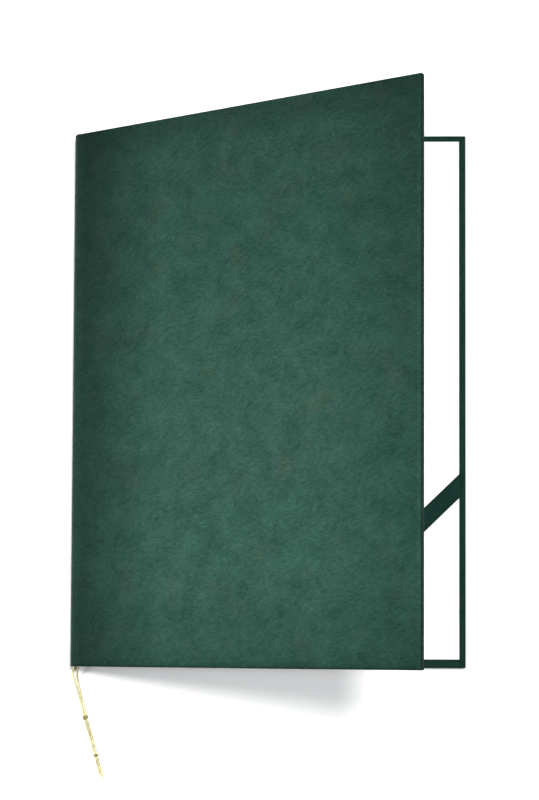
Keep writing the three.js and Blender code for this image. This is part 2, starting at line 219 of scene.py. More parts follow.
OUTER_STRAND_START = [
    from_hinge(-1.6, TAIL_Y - 0.3, ON_TABLE),
    from_hinge(-2.3, TAIL_Y - 1.8, ON_TABLE),
    from_hinge(-2.5, TAIL_Y - 3.6, ON_TABLE),
    from_hinge(-1.6, TAIL_Y - 7, ON_TABLE),
    from_hinge(0.2, TAIL_Y - 13, ON_TABLE),
    from_hinge(2.6, TAIL_Y - 21, ON_TABLE),
]
KNOT_PLACE = np.array((-105.5, -184.2, 0.0))
END_KNOT_PLACE = np.array((-99.2, -206.2, 0.0))
STRAND_TIP = np.array((-97.9, -211.4, 0.0))
KNOT_HEIGHT = 1.0
END_KNOT_HEIGHT = 0.9
KNOT_HALF = 1.9
END_KNOT_HALF = 1.3
HALF_PITCH = 0.575
ALONG = (END_KNOT_PLACE - KNOT_PLACE) / np.linalg.norm(END_KNOT_PLACE - KNOT_PLACE)
ACROSS = np.array((-ALONG[1], ALONG[0], 0.0))


def strand_route(start, sign):
    side = ACROSS * sign * HALF_PITCH

    def at(place, offset, z):
        p = place + ALONG * offset + side
        return (p[0], p[1], z)

    middle = (KNOT_PLACE + END_KNOT_PLACE) / 2
    return start + [
        at(KNOT_PLACE, -KNOT_HALF, KNOT_HEIGHT),
        at(KNOT_PLACE, KNOT_HALF, KNOT_HEIGHT),
        at(middle, 0, ON_TABLE),
        at(END_KNOT_PLACE, -END_KNOT_HALF, END_KNOT_HEIGHT),
        at(END_KNOT_PLACE, END_KNOT_HALF, END_KNOT_HEIGHT),
        at(STRAND_TIP, 0, ON_TABLE),
    ]


TUBE_SHEET_WIDTH = 3.0
PLY_ROUNDNESS = 0.99
SMALLEST_TAPER = 0.02


def with_caps(grid, sheet):
    """A tube's grid and the two grids that close its ends."""
    grids = [(grid, sheet)]
    for end in (0, -1):
        rim = grid[end]
        middle = np.repeat(rim[:-1].mean(axis=0)[None], len(rim), axis=0)
        grids.append((np.array([rim, middle]), np.array([sheet[end], sheet[end]])))
    return grids


def twisted_tube(name, route, radius, pitch=3.4, plies=3, sides=18, step=0.4, taper=0.0, level=False,
                 phase=0.0):
    """A cord of plies twisted together along a route, as one closed tube, in a whole number of turns.

    A level tube measures its twist from the horizontal, so that the plies run on from one piece to the next.
    A tube's ends are rounded off over the taper's length.
    """
    centres, at = resample(route, step)
    tangents = np.gradient(centres, axis=0)
    tangents /= np.linalg.norm(tangents, axis=1)[:, None]
    normal = np.cross(tangents[0], (0.0, 0.0, 1.0))
    normal /= np.linalg.norm(normal)
    pitch = at[-1] / round(at[-1] / pitch)
    rings = []
    sheets = []
    turns = np.arange(sides + 1) / sides * 2 * math.pi
    lobe = 2 * math.pi / plies
    for k, (centre, tangent) in enumerate(zip(centres, tangents)):
        if level:
            normal = np.cross(tangent, (0.0, 0.0, 1.0))
        normal = normal - tangent * np.dot(normal, tangent)
        normal /= np.linalg.norm(normal)
        other = np.cross(tangent, normal)
        twist = 2 * math.pi * at[k] / pitch + phase
        off = (turns - twist + lobe / 2) % lobe - lobe / 2
        ply = 0.5 * np.cos(off) + np.sqrt(0.25 - 0.25 * np.sin(off) ** 2 * PLY_ROUNDNESS)
        size = radius
        to_end = min(at[k], at[-1] - at[k])
        if to_end < taper:
            size *= math.sqrt(max(SMALLEST_TAPER, to_end / taper))
        reach = size * ply
        ring = centre + np.outer(reach * np.cos(turns), normal) + np.outer(reach * np.sin(turns), other)
        ring[-1] = ring[0]
        rings.append(ring)
        sheets.append(np.stack([turns / (2 * math.pi) * TUBE_SHEET_WIDTH, np.full(sides + 1, at[k])], axis=1))
    return mesh_from_grids(name, with_caps(np.array(rings), np.array(sheets)), merge=WIDE_MERGE)


ROUND_SHADE = 60


def make_cords():
    made = {}
    loop = make_object("gold_cord_round_spine",
                       twisted_tube("gold_cord_round_spine", smooth_route(LOOP_ROUTE, 24), CORD_DIAMETER / 2,
                                    level=True))
    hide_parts("spine_cord")
    made["loop"] = loop
    for side, start, sign in (("inner", INNER_STRAND_START, 1), ("outer", OUTER_STRAND_START, -1)):
        route = smooth_route(strand_route(start, sign), 12)
        name = "gold_cord_end_" + side
        # The inner strand runs against the loop's direction, so its plies start half a turn on
        phase = math.pi if side == "inner" else 0.0
        strand = make_object(name, twisted_tube(name, route, CORD_DIAMETER / 2, level=True, phase=phase))
        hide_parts("cord_strand_" + side)
        made[side] = (strand, route)
    for piece in (loop, made["inner"][0], made["outer"][0]):
        shade(piece.data, ROUND_SHADE)
    return made


cords = make_cords()


# Knots: cord wound slantwise round both strands
STEPS_A_TURN = 16
KNOT_TAPER = 0.5


def wound_route(place, height, half_length, wide, high, turns, lean):
    """A winding about a place on the strands, as wide and as high as given, leaning along them."""
    points = []
    count = int(turns * STEPS_A_TURN)
    for i in range(count + 1):
        share = i / count
        angle = share * turns * 2 * math.pi
        offset = (share - 0.5) * 2 * half_length + lean * math.sin(angle)
        p = place + ALONG * offset + ACROSS * wide * math.cos(angle)
        points.append((p[0], p[1], height + high * math.sin(angle)))
    return np.array(points)


def make_knot(name, node, radius, **winding):
    route = smooth_route(wound_route(**winding), 3)
    mesh = twisted_tube(name, route, radius, step=0.2, sides=14, pitch=2.6, taper=KNOT_TAPER)
    knot = make_object(name, mesh)
    shade(knot.data, ROUND_SHADE)
    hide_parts(node)
    return knot


big_knot = make_knot("gold_cord_knot", "cord_knot", radius=0.42, place=KNOT_PLACE, height=KNOT_HEIGHT,
                     half_length=0.85, wide=1.2, high=0.62, turns=2.6, lean=0.35)
small_knot = make_knot("gold_cord_end_knot", "cord_end_knot", radius=0.36, place=END_KNOT_PLACE,
                       height=END_KNOT_HEIGHT, half_length=0.5, wide=1.1, high=0.55, turns=1.7, lean=0.25)


# Frayed ends: the cord's threads, fanned out on the table
THREAD_COUNT = 26
THREAD_POINTS = 9
THREAD_SIDES = 5
THREAD_RADIUS = 0.105
THREAD_TAPER = 0.4
THREAD_START = -0.5
THREAD_LOWEST = 0.12
THREAD_HIGHEST = 0.9


def thread_route(rng, sign):
    """One thread's way: fanned out, bent and wavy, and sinking to the table."""
    start_side = sign * HALF_PITCH + rng.uniform(-0.3, 0.3)
    spread = start_side * rng.uniform(1.0, 1.9) + rng.normal(0, 0.35)
    reach = rng.uniform(5.6, 9.6)
    lift = rng.uniform(0.12, 0.8)
    bend = rng.normal(0, 0.3)
    wave = rng.uniform(0.2, 0.5)
    phase = rng.uniform(0, 2 * math.pi)
    points = []
    for s in np.linspace(0, 1, THREAD_POINTS):
        side = start_side + (spread - start_side) * s ** 1.4 + bend * math.sin(math.pi * s)
        side += wave * s * math.sin(3 * math.pi * s + phase)
        p = STRAND_TIP + ALONG * (THREAD_START + reach * s) + ACROSS * side
        z = (1 - s) * rng.uniform(0.3, 0.7) + s * lift * 0.35 + THREAD_LOWEST
        points.append((p[0], p[1], min(THREAD_HIGHEST, z)))
    return smooth_route(points, 3)


def thread_grids(route):
    turns = np.arange(THREAD_SIDES + 1) / THREAD_SIDES * 2 * math.pi
    tangents = np.gradient(route, axis=0)
    tangents /= np.linalg.norm(tangents, axis=1)[:, None]
    rings = []
    sheet = []
    for i, (centre, tangent) in enumerate(zip(route, tangents)):
        normal = np.cross(tangent, (0.0, 0.0, 1.0))
        normal /= np.linalg.norm(normal)
        other = np.cross(tangent, normal)
        size = THREAD_RADIUS * (1 - THREAD_TAPER * i / len(route))
        ring = centre + np.outer(size * np.cos(turns), normal) + np.outer(size * np.sin(turns), other)
        ring[-1] = ring[0]
        rings.append(ring)
        sheet.append(np.stack([turns * 0.1, np.full(THREAD_SIDES + 1, i * 0.3)], axis=1))
    return with_caps(np.array(rings), np.array(sheet))


def make_fringe():
    rng = np.random.default_rng(7)
    grids = []
    for k in range(THREAD_COUNT):
        grids += thread_grids(thread_route(rng, 1 if k % 2 else -1))
    name = "gold_cord_frayed_ends"
    fringe = make_object(name, mesh_from_grids(name, grids, merge=WIDE_MERGE))
    shade(fringe.data, ROUND_SHADE)
    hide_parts("cord_fringe")
    return fringe


fringe = make_fringe()


# Front cover: the back cover's shapes, mirrored about the hinge's height and turned about the hinge line
def to_front(obj):
    about = Matrix.Translation(Vector((HINGE_X, 0, HINGE_Z)) * MM)
    turn = Matrix.Rotation(-OPEN_ANGLE, 4, "Y")
    mirror = Matrix.Diagonal((1, 1, -1, 1))
    obj.data.transform(about @ turn @ mirror @ about.inverted())
    obj.data.flip_normals()


# Covering of one cover: outer face, rounded wrapped edges, turn-ins and mitred corners
EDGE_RADIUS = 0.75
CORNER_RADIUS = 0.6
FACE_INSETS = (TURN_IN_DEPTH, 9.0, 5.0, 3.0, 2.0)
TURN_IN_END_ROUND = 0.12
TURN_IN_END_FLAT = 14.6
BOARD_INSET = 0.5
SIDE_STEP = 8
MITRE_STEPS = (0.35, 0.9, 2.2)
MITRE_WIDTH = 0.3
MITRE_DEPTH = 0.28
MITRE_START = 1.4
QUARTER_TURN = np.radians(np.linspace(0, 90, 7))
COVER_SHADE = 50


def edge_profile():
    """(inset, height) round the rim: outer face, turn-in and back under it round the board's room."""
    rows = [(inset, 0.0) for inset in FACE_INSETS]
    for a in QUARTER_TURN:
        rows.append((EDGE_RADIUS * (1 - math.sin(a)), EDGE_RADIUS * (1 - math.cos(a))))
    rows.append((0.0, TURN_IN_TOP / 2))
    for a in QUARTER_TURN[::-1]:
        rows.append((EDGE_RADIUS * (1 - math.sin(a)), TURN_IN_TOP - EDGE_RADIUS * (1 - math.cos(a))))
    for inset in FACE_INSETS[:0:-1] + (TURN_IN_END_FLAT,):
        rows.append((inset, TURN_IN_TOP))
    rows.append((TURN_IN_DEPTH, TURN_IN_TOP - TURN_IN_END_ROUND))
    rows.append((TURN_IN_DEPTH, TURN_IN_BOTTOM))
    rows.append((BOARD_INSET, TURN_IN_BOTTOM))
    rows.append((BOARD_INSET, CLOTH))
    rows.append((TURN_IN_DEPTH, CLOTH))
    return rows


def side_places(length, mitre_at_start):
    """Shares along a side, with fine steps beside each mitre."""
    places = list(np.linspace(0, 1, max(2, int(length / SIDE_STEP))))
    extra = [step / length for step in MITRE_STEPS]
    places += [1 - e for e in extra]
    if mitre_at_start:
        places += extra
    return np.array(sorted(places))


SIDE_X = side_places(FORE_X - COVER_SPINE_X, False)
SIDE_Y = side_places(COVER_HEIGHT, True)


def inset_ring(inset):
    """Points of the outline at an inset, from the spine along the tail, the fore edge and the head."""
    low = -HALF_HEIGHT + inset
    high = HALF_HEIGHT - inset
    right = FORE_X - inset
    radius = max(0.0, CORNER_RADIUS - inset)
    keep = max(inset, CORNER_RADIUS)
    reach = FORE_X - keep - COVER_SPINE_X
    tail = [(COVER_SPINE_X + reach * t, low) for t in SIDE_X]
    tail_arc = [(FORE_X - keep + radius * math.sin(a), -HALF_HEIGHT + keep - radius * math.cos(a))
                for a in QUARTER_TURN]
    fore = [(right, -HALF_HEIGHT + keep + (COVER_HEIGHT - 2 * keep) * t) for t in SIDE_Y]
    head_arc = [(FORE_X - keep + radius * math.cos(a), HALF_HEIGHT - keep + radius * math.sin(a))
                for a in QUARTER_TURN]
    head = [(COVER_SPINE_X + reach * t, high) for t in SIDE_X[::-1]]
    return np.array(tail + tail_arc[1:-1] + fore + head_arc[1:-1] + head)


def mitre_closeness(x, y):
    """1 on a corner's diagonal, falling to 0 beside it."""
    off = abs((FORE_X - x) - (HALF_HEIGHT - abs(y))) / math.sqrt(2)
    return max(0.0, 1 - off / MITRE_WIDTH)


def rim_grid():
    """The rim's rows, and each point's place on the flat sheet, which runs on past the folds."""
    rows = edge_profile()
    grid = []
    sheet = []
    travelled = 0.0
    for k, (inset, height) in enumerate(rows):
        if k:
            travelled += math.hypot(inset - rows[k - 1][0], height - rows[k - 1][1])
        folded = inset - (TURN_IN_DEPTH - travelled)
        line = []
        out = []
        for x, y in inset_ring(inset):
            z = height
            if height == TURN_IN_TOP and inset >= MITRE_START:
                z -= MITRE_DEPTH * mitre_closeness(x, y)
            line.append((x, y, z))
            at_fore = FORE_X - x < HALF_HEIGHT - abs(y)
            out.append((x + folded, y) if at_fore else (x, y + math.copysign(folded, y)))
        grid.append(line)
        sheet.append(out)
    return np.array(grid), np.array(sheet)


def cover_cloth_mesh(name):
    grids = [rim_grid()]
    xs = [COVER_SPINE_X + (FORE_X - TURN_IN_DEPTH - COVER_SPINE_X) * t for t in SIDE_X]
    ys = [-HALF_HEIGHT + TURN_IN_DEPTH + (COVER_HEIGHT - 2 * TURN_IN_DEPTH) * t for t in SIDE_Y]
    for height in (0.0, CLOTH):
        plate = np.array([[(x, y, height) for x in xs] for y in ys])
        grids.append((plate, plate[:, :, :2]))
    # The cut edge at the spine, between the turn-ins
    edge = np.array([[(COVER_SPINE_X, y, 0.0) for y in ys], [(COVER_SPINE_X, y, CLOTH) for y in ys]])
    grids.append((edge, edge[:, :, :2]))
    mesh = mesh_from_grids(name, grids)
    fill_openings(mesh)
    return mesh


SHEET_START = 0.5


def back_sheet_coords(mesh):
    """The covering is one sheet: the back cover's part runs on from the spine with the same scale."""
    for item in mesh.uv_layers["sheet"].data:
        item.uv = (item.uv[0] + SHEET_START, item.uv[1] + SHEET_START)


def front_sheet_coords(mesh):
    """The front cover's part runs back from the far side of the spine."""
    far_side = SHEET_START + (2 * COVER_SPINE_X - SPINE_SHEET) * MM
    for item in mesh.uv_layers["sheet"].data:
        item.uv = (far_side - item.uv[0], item.uv[1] + SHEET_START)


# Spine cloth
def turned(x, z):
    c, s = math.cos(OPEN_ANGLE), math.sin(OPEN_ANGLE)
    return np.array((x * c - z * s, x * s + z * c))


def bezier(p0, p1, p2, p3, t):
    t = np.asarray(t)[:, None]
    return (1 - t) ** 3 * p0 + 3 * (1 - t) ** 2 * t * p1 + 3 * (1 - t) * t ** 2 * p2 + t ** 3 * p3


SPINE_FLAT = 0.8
SPINE_LIFT_PULL = 1.2
SPINE_FRONT_FLAT = 0.3
SPINE_FRONT_PULL = 0.6


def spine_outline():
    """The spine's outer line, back cover to front, measured from the hinge line, and its inward normals."""
    start = np.array((BOARD_TO_HINGE, -HINGE_Z))
    lift = np.array((BOARD_TO_HINGE - SPINE_FLAT, -HINGE_Z))
    apex = np.array((-SPINE_BULGE, -HINGE_Z / 9))
    end = turned(BOARD_TO_HINGE, HINGE_Z)
    along = np.array((math.cos(OPEN_ANGLE), math.sin(OPEN_ANGLE)))
    near_end = end - along * SPINE_FRONT_FLAT
    first = bezier(lift, lift + (-SPINE_LIFT_PULL, 0), apex - (0, HINGE_Z / 2), apex, np.linspace(0, 1, 15))
    second = bezier(apex, apex + (0, HINGE_Z / 2), end - along * SPINE_BULGE * SPINE_FRONT_PULL, near_end,
                    np.linspace(0, 1, 17))
    line = np.concatenate([[start, (start + lift) / 2], first, second[1:], [end]])
    tangent = np.gradient(line, axis=0)
    tangent[0] = (-1, 0)
    tangent[-1] = along
    tangent /= np.linalg.norm(tangent, axis=1)[:, None]
    inward = np.stack([tangent[:, 1], -tangent[:, 0]], axis=1)
    return line, inward


SPINE_LINE, SPINE_INWARD = spine_outline()
SPINE_TRAVEL = np.concatenate([[0], np.cumsum(np.linalg.norm(np.diff(SPINE_LINE, axis=0), axis=1))])
SPINE_SHEET = SPINE_TRAVEL[-1]
SPINE_STEP = 6.0
TURN_IN_STEP_DOWN = 0.1
HALF_ROUND = np.radians(np.linspace(15, 165, 7))


def spine_rows():
    """(y, depth) down the outside from head to tail, round the doubled end and back up the inside."""
    low = -HALF_HEIGHT + CLOTH
    high = HALF_HEIGHT - CLOTH
    low_end = -HALF_HEIGHT + TURN_IN_DEPTH
    high_end = HALF_HEIGHT - TURN_IN_DEPTH
    bevel = TURN_IN_DEPTH - TURN_IN_END_FLAT
    past = 0.05
    rows = [(y, 0.0) for y in spaced(high, low, SPINE_STEP)]
    for a in HALF_ROUND:
        rows.append((low - CLOTH * math.sin(a), CLOTH - CLOTH * math.cos(a)))
    rows.append((low, 2 * CLOTH))
    rows.append((low_end - bevel, 2 * CLOTH))
    rows.append((low_end, 2 * CLOTH - TURN_IN_STEP_DOWN))
    rows.append((low_end + past, CLOTH))
    for y in spaced(low_end + SPINE_STEP, high_end - SPINE_STEP, SPINE_STEP):
        rows.append((y, CLOTH))
    rows.append((high_end - past, CLOTH))
    rows.append((high_end, 2 * CLOTH - TURN_IN_STEP_DOWN))
    rows.append((high_end + bevel, 2 * CLOTH))
    rows.append((high, 2 * CLOTH))
    for a in HALF_ROUND[::-1]:
        rows.append((high + CLOTH * math.sin(a), CLOTH - CLOTH * math.cos(a)))
    rows.append(rows[0])
    return rows


def spine_cloth_mesh(name):
    rows = spine_rows()
    grid = []
    sheet = []
    travelled = 0.0
    for k, (y, depth) in enumerate(rows):
        if k:
            travelled += math.hypot(y - rows[k - 1][0], depth - rows[k - 1][1])
        line = []
        out = []
        for p, inward, run in zip(SPINE_LINE, SPINE_INWARD, SPINE_TRAVEL):
            q = p + inward * depth
            line.append((HINGE_X + q[0], y, HINGE_Z + q[1]))
            out.append((COVER_SPINE_X - run, HALF_HEIGHT - CLOTH - travelled))
        grid.append(line)
        sheet.append(out)
    mesh = mesh_from_grids(name, [(np.array(grid), np.array(sheet))])
    fill_openings(mesh)
    return mesh


back_cloth = make_object("back_cover_covering", cover_cloth_mesh("back_cover_covering"))
front_cloth = make_object("front_cover_covering", cover_cloth_mesh("front_cover_covering"))
spine_piece = make_object("spine_covering", spine_cloth_mesh("spine_covering"))
to_front(front_cloth)
back_sheet_coords(back_cloth.data)
front_sheet_coords(front_cloth.data)
back_sheet_coords(spine_piece.data)
for piece in (back_cloth, front_cloth, spine_piece):
    shade(piece.data, COVER_SHADE)
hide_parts("back_cover_cloth")
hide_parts("front_cover_cloth")
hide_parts("spine_cloth")


# Linings: cards that dip from the turn-ins onto the board
LINING_BEVEL = 0.07
DIP_START = 1.5
DIP_LENGTH = 7.0
DIP_NEAR = 3
DIP_FAR = 8
DIP_STEP = 1.0
PLAIN_STEP = 9.0
RIM_STEP = 3.0
LINING_SHADE = 30


def lining_height(x, y):
    inside = min(FORE_X - TURN_IN_DEPTH - x, HALF_HEIGHT - TURN_IN_DEPTH - abs(y))
    t = min(1.0, max(0.0, (inside + DIP_START) / DIP_LENGTH))
    return LINING_ON_TURN_IN + (LINING_ON_BOARD - LINING_ON_TURN_IN) * t * t * (3 - 2 * t)


def edged_places(start, end, *stretches):
    """Each place along a side with 1 at its two edges and 0 between, from (from, to, step) stretches."""
    inner = sorted(set(np.round(np.concatenate([spaced(*stretch) for stretch in stretches]), 4)))
    return [(start, 1)] + [(place, 0) for place in inner] + [(end, 1)]


def lining_mesh(name):
    dip_x = FORE_X - TURN_IN_DEPTH
    dip_y = HALF_HEIGHT - TURN_IN_DEPTH
    x_places = edged_places(LINING_SPINE_X, LINING_FORE_X,
                            (LINING_SPINE_X + LINING_BEVEL, dip_x - DIP_FAR, PLAIN_STEP),
                            (dip_x - DIP_FAR, dip_x + DIP_NEAR, DIP_STEP),
                            (dip_x + DIP_NEAR, LINING_FORE_X - LINING_BEVEL, RIM_STEP))
    y_places = edged_places(LINING_TAIL_Y, LINING_HEAD_Y,
                            (LINING_TAIL_Y + LINING_BEVEL, -dip_y - DIP_NEAR, RIM_STEP),
                            (-dip_y - DIP_NEAR, -dip_y + DIP_FAR, DIP_STEP),
                            (-dip_y + DIP_FAR, dip_y - DIP_FAR, PLAIN_STEP),
                            (dip_y - DIP_FAR, dip_y + DIP_NEAR, DIP_STEP),
                            (dip_y + DIP_NEAR, LINING_HEAD_Y - LINING_BEVEL, RIM_STEP))
    grids = []
    for from_under, inward in ((0.0, 1), (LINING, -1)):
        bevel = inward * LINING_BEVEL
        plate = np.array([[(x, y, lining_height(x, y) + from_under + bevel * max(x_edge, y_edge))
                           for x, x_edge in x_places] for y, y_edge in y_places])
        grids.append((plate, plate[:, :, :2]))
    low, high = grids[0][0], grids[1][0]
    for pick in (lambda g: g[0], lambda g: g[-1], lambda g: g[:, 0], lambda g: g[:, -1]):
        wall = np.array([pick(low), pick(high)])
        grids.append((wall, wall[:, :, :2]))
    return mesh_from_grids(name, grids, merge=WIDE_MERGE)


back_card = make_object("back_lining_card", lining_mesh("back_lining_card"))
front_card = make_object("front_lining_card", lining_mesh("front_lining_card"))
to_front(front_card)
for piece in (back_card, front_card):
    shade(piece.data, LINING_SHADE)
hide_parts("back_lining")
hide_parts("front_lining")


# Corner strap: a band with turned edges, folded at each end round the lining's edge and under it
STRAP_ROOM = 0.04
STRAP_RISE = 0.95
STRAP_TAIL_ROOM = 0.02
STRAP_BOTTOM = LINING_TOP + STRAP_ROOM
STRAP_TOP = LINING_TOP + STRAP_RISE
STRAP_TAIL_LOW = TURN_IN_BOTTOM + STRAP_TAIL_ROOM
STRAP_TAIL_HIGH = LINING_ON_TURN_IN - STRAP_ROOM
FOLD_REACH = 0.9
FOLD_LENGTH = 2.2
INNER_FOLD_REACH = 0.12
INNER_FOLD_ROOM = 0.03
TAIL_LENGTH = 8.0
STRAP_SOFT_EDGE = 0.42

STRAP_FORE_END = np.array((LINING_FORE_X, LINING_TAIL_Y + STRAP_REACH_UP))
STRAP_TAIL_END = np.array((LINING_FORE_X - STRAP_REACH_ACROSS, LINING_TAIL_Y))
STRAP_SPAN = np.linalg.norm(STRAP_FORE_END - STRAP_TAIL_END)
STRAP_ALONG = (STRAP_FORE_END - STRAP_TAIL_END) / STRAP_SPAN
STRAP_ACROSS = np.array((-STRAP_ALONG[1], STRAP_ALONG[0]))
# A row of the band runs along X at the tail end and along Y at the fore end, as the lining's edges do there
ROW_STEP_TAIL = -STRAP_ACROSS[1] / STRAP_ALONG[1]
ROW_STEP_FORE = -STRAP_ACROSS[0] / STRAP_ALONG[0]


def row_step(share):
    """How far a row's point moves along the band for a step across it."""
    smooth = share * share * (3 - 2 * share)
    return (1 - smooth) * ROW_STEP_TAIL + smooth * ROW_STEP_FORE


def strap_fold(beyond, rise):
    """(distance past the lining's edge, height) at a distance along the band and a share of its thickness."""
    if beyond <= 0:
        return beyond, STRAP_BOTTOM + (STRAP_TOP - STRAP_BOTTOM) * rise
    if beyond >= FOLD_LENGTH:
        return -(beyond - FOLD_LENGTH), STRAP_TAIL_HIGH + (STRAP_TAIL_LOW - STRAP_TAIL_HIGH) * rise
    a = math.pi * beyond / FOLD_LENGTH
    middle = (STRAP_TOP + TURN_IN_BOTTOM) / 2
    outer = (FOLD_REACH * math.sin(a), middle + (STRAP_TOP - middle) * math.cos(a))
    inner_middle = (STRAP_BOTTOM + STRAP_TAIL_HIGH) / 2
    inner = (INNER_FOLD_REACH * math.sin(a) + INNER_FOLD_ROOM,
             inner_middle + (STRAP_BOTTOM - inner_middle) * math.cos(a))
    return inner[0] + (outer[0] - inner[0]) * rise, inner[1] + (outer[1] - inner[1]) * rise


def strap_section():
    """(place across the band, share of its thickness) round its section, flat with soft turned edges."""
    flat = STRAP_WIDTH / 2 - STRAP_SOFT_EDGE
    edge = np.radians(np.linspace(75, -75, 6))
    section = [(w, 1.0) for w in np.linspace(-flat, flat, 9)]
    section += [(flat + STRAP_SOFT_EDGE * math.cos(a), 0.5 + 0.5 * math.sin(a)) for a in edge]
    section += [(w, 0.0) for w in np.linspace(flat, -flat, 9)]
    section += [(-flat - STRAP_SOFT_EDGE * math.cos(a), 0.5 + 0.5 * math.sin(a)) for a in edge[::-1]]
    return section + section[:1]


def strap_places():
    """Places along the band, close together where it folds round the lining's edges."""
    up, right = abs(STRAP_ALONG[1]), abs(STRAP_ALONG[0])
    past_fold = FOLD_LENGTH + 0.2
    return np.concatenate([
        np.linspace(-(TAIL_LENGTH + FOLD_LENGTH) / up, -past_fold / up, 5),
        np.linspace(-FOLD_LENGTH / up, 0, 11),
        np.linspace(1.0, STRAP_SPAN - 1.0, 40),
        np.linspace(0, FOLD_LENGTH / right, 11) + STRAP_SPAN,
        np.linspace(past_fold / right, (TAIL_LENGTH + FOLD_LENGTH) / right, 5) + STRAP_SPAN])


def strap_mesh(name):
    grid = []
    sheet = []
    for t in strap_places():
        step = row_step(min(1.0, max(0.0, t / STRAP_SPAN)))
        line = []
        out = []
        for w, rise in strap_section():
            x, y = STRAP_TAIL_END + STRAP_ALONG * (t + w * step) + STRAP_ACROSS * w
            past_fore, z = strap_fold(x - LINING_FORE_X, rise)
            past_tail, tail_z = strap_fold(LINING_TAIL_Y - y, rise)
            if x > LINING_FORE_X:
                x = LINING_FORE_X + past_fore
            elif y < LINING_TAIL_Y:
                y = LINING_TAIL_Y - past_tail
                z = tail_z
            line.append((x, y, z))
            out.append((t + SHEET_START / MM, w))
        grid.append(line)
        sheet.append(out)
    mesh = mesh_from_grids(name, [(np.array(grid), np.array(sheet))])
    fill_openings(mesh)
    return mesh


strap = make_object("corner_strap_band", strap_mesh("corner_strap_band"))
shade(strap.data, COVER_SHADE)
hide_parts("corner_strap")


# Materials
def nodes_of(name):
    material = bpy.data.materials.new(name)
    material.use_nodes = True
    tree = material.node_tree
    shader = tree.nodes["Principled BSDF"]
    return material, tree, shader


def add(tree, kind, **settings):
    node = tree.nodes.new(kind)
    for key, value in settings.items():
        setattr(node, key, value)
    return node


def noise(tree, vector, scale, detail=3.0, roughness=0.5, distortion=0.0):
    node = add(tree, "ShaderNodeTexNoise")
    node.inputs["Scale"].default_value = scale
    node.inputs["Detail"].default_value = detail
    node.inputs["Roughness"].default_value = roughness
    node.inputs["Distortion"].default_value = distortion
    tree.links.new(vector, node.inputs["Vector"])
    return node.outputs["Fac"]


def ranged(tree, value, low, high, to_low, to_high):
    node = add(tree, "ShaderNodeMapRange")
    node.inputs["From Min"].default_value = low
    node.inputs["From Max"].default_value = high
    node.inputs["To Min"].default_value = to_low
    node.inputs["To Max"].default_value = to_high
    tree.links.new(value, node.inputs["Value"])
    return node.outputs["Result"]


def math_node(tree, operation, a, b):
    node = add(tree, "ShaderNodeMath", operation=operation)
    for socket, value in zip(node.inputs, (a, b)):
        if isinstance(value, (int, float)):
            socket.default_value = value
        else:
            tree.links.new(value, socket)
    return node.outputs["Value"]


def mapped(tree, vector, rotation, scale):
    """Coordinates turned first and scaled after, so a small scale gives streaks along the turned X axis."""
    node = add(tree, "ShaderNodeMapping", vector_type="TEXTURE")
    node.inputs["Rotation"].default_value = (0, 0, rotation)
    node.inputs["Scale"].default_value = [1 / s for s in scale]
    tree.links.new(vector, node.inputs["Vector"])
    return node.outputs["Vector"]


def total(tree, first, *others):
    for value in others:
        first = math_node(tree, "ADD", first, value)
    return first


def swing(tree, value, amount, reach=0.2):
    """A noise's usual range about its middle, brought to run from -amount to amount."""
    return ranged(tree, value, 0.5 - reach, 0.5 + reach, -amount, amount)


def colour_ramp(tree, value, low, high, low_at=0.0, high_at=1.0):
    node = add(tree, "ShaderNodeValToRGB")
    first, last = node.color_ramp.elements
    first.position = low_at
    first.color = low + (1,)
    last.position = high_at
    last.color = high + (1,)
    tree.links.new(value, node.inputs["Fac"])
    return node.outputs["Color"]


def add_bump(tree, shader, height, strength, distance):
    bump = add(tree, "ShaderNodeBump")
    bump.inputs["Strength"].default_value = strength
    bump.inputs["Distance"].default_value = distance
    tree.links.new(height, bump.inputs["Height"])
    tree.links.new(bump.outputs["Normal"], shader.inputs["Normal"])


# Painted shade of the front cover in bands, in sheet coordinates, in metres: where each is darkest, where it
# ends, its tone
SPINE_PAINTED_SHADE = (0.374, 0.318, 0.30)
FORE_PAINTED_SHADES = ((0.151, 0.215, 0.62), (0.1543, 0.1553, 0.2))
HEAD_PAINTED_SHADES = ((0.66, 0.50, 0.66), (0.655, 0.635, 0.70))
TAIL_PAINTED_SHADES = ((0.345, 0.395, 0.68), (0.3450, 0.3468, 0.35), (0.3462, 0.3500, 0.76))
# A painted highlight on the rounded joint of the spine
JOINT_START = 0.372
JOINT_FULL = 0.3785
JOINT_PAINTED_HIGHLIGHT = 0.2
# A thin painted highlight line just inside the front cover's fore edge
PAINTED_HIGHLIGHT_LINE = 0.1563
PAINTED_HIGHLIGHT_START = 0.0003
PAINTED_HIGHLIGHT_END = 0.0011
PAINTED_HIGHLIGHT_TONE = 1.22
# Painted shade over the whole back cover and the strap, darker than the front cover
BACK_START = 0.374
BACK_FULL = 0.396
BACK_PAINTED_SHADE = 0.235
STRAP_EDGE_START = 0.0042
STRAP_EDGE_FULL = 0.0048
STRAP_EDGE_FALL = 0.6


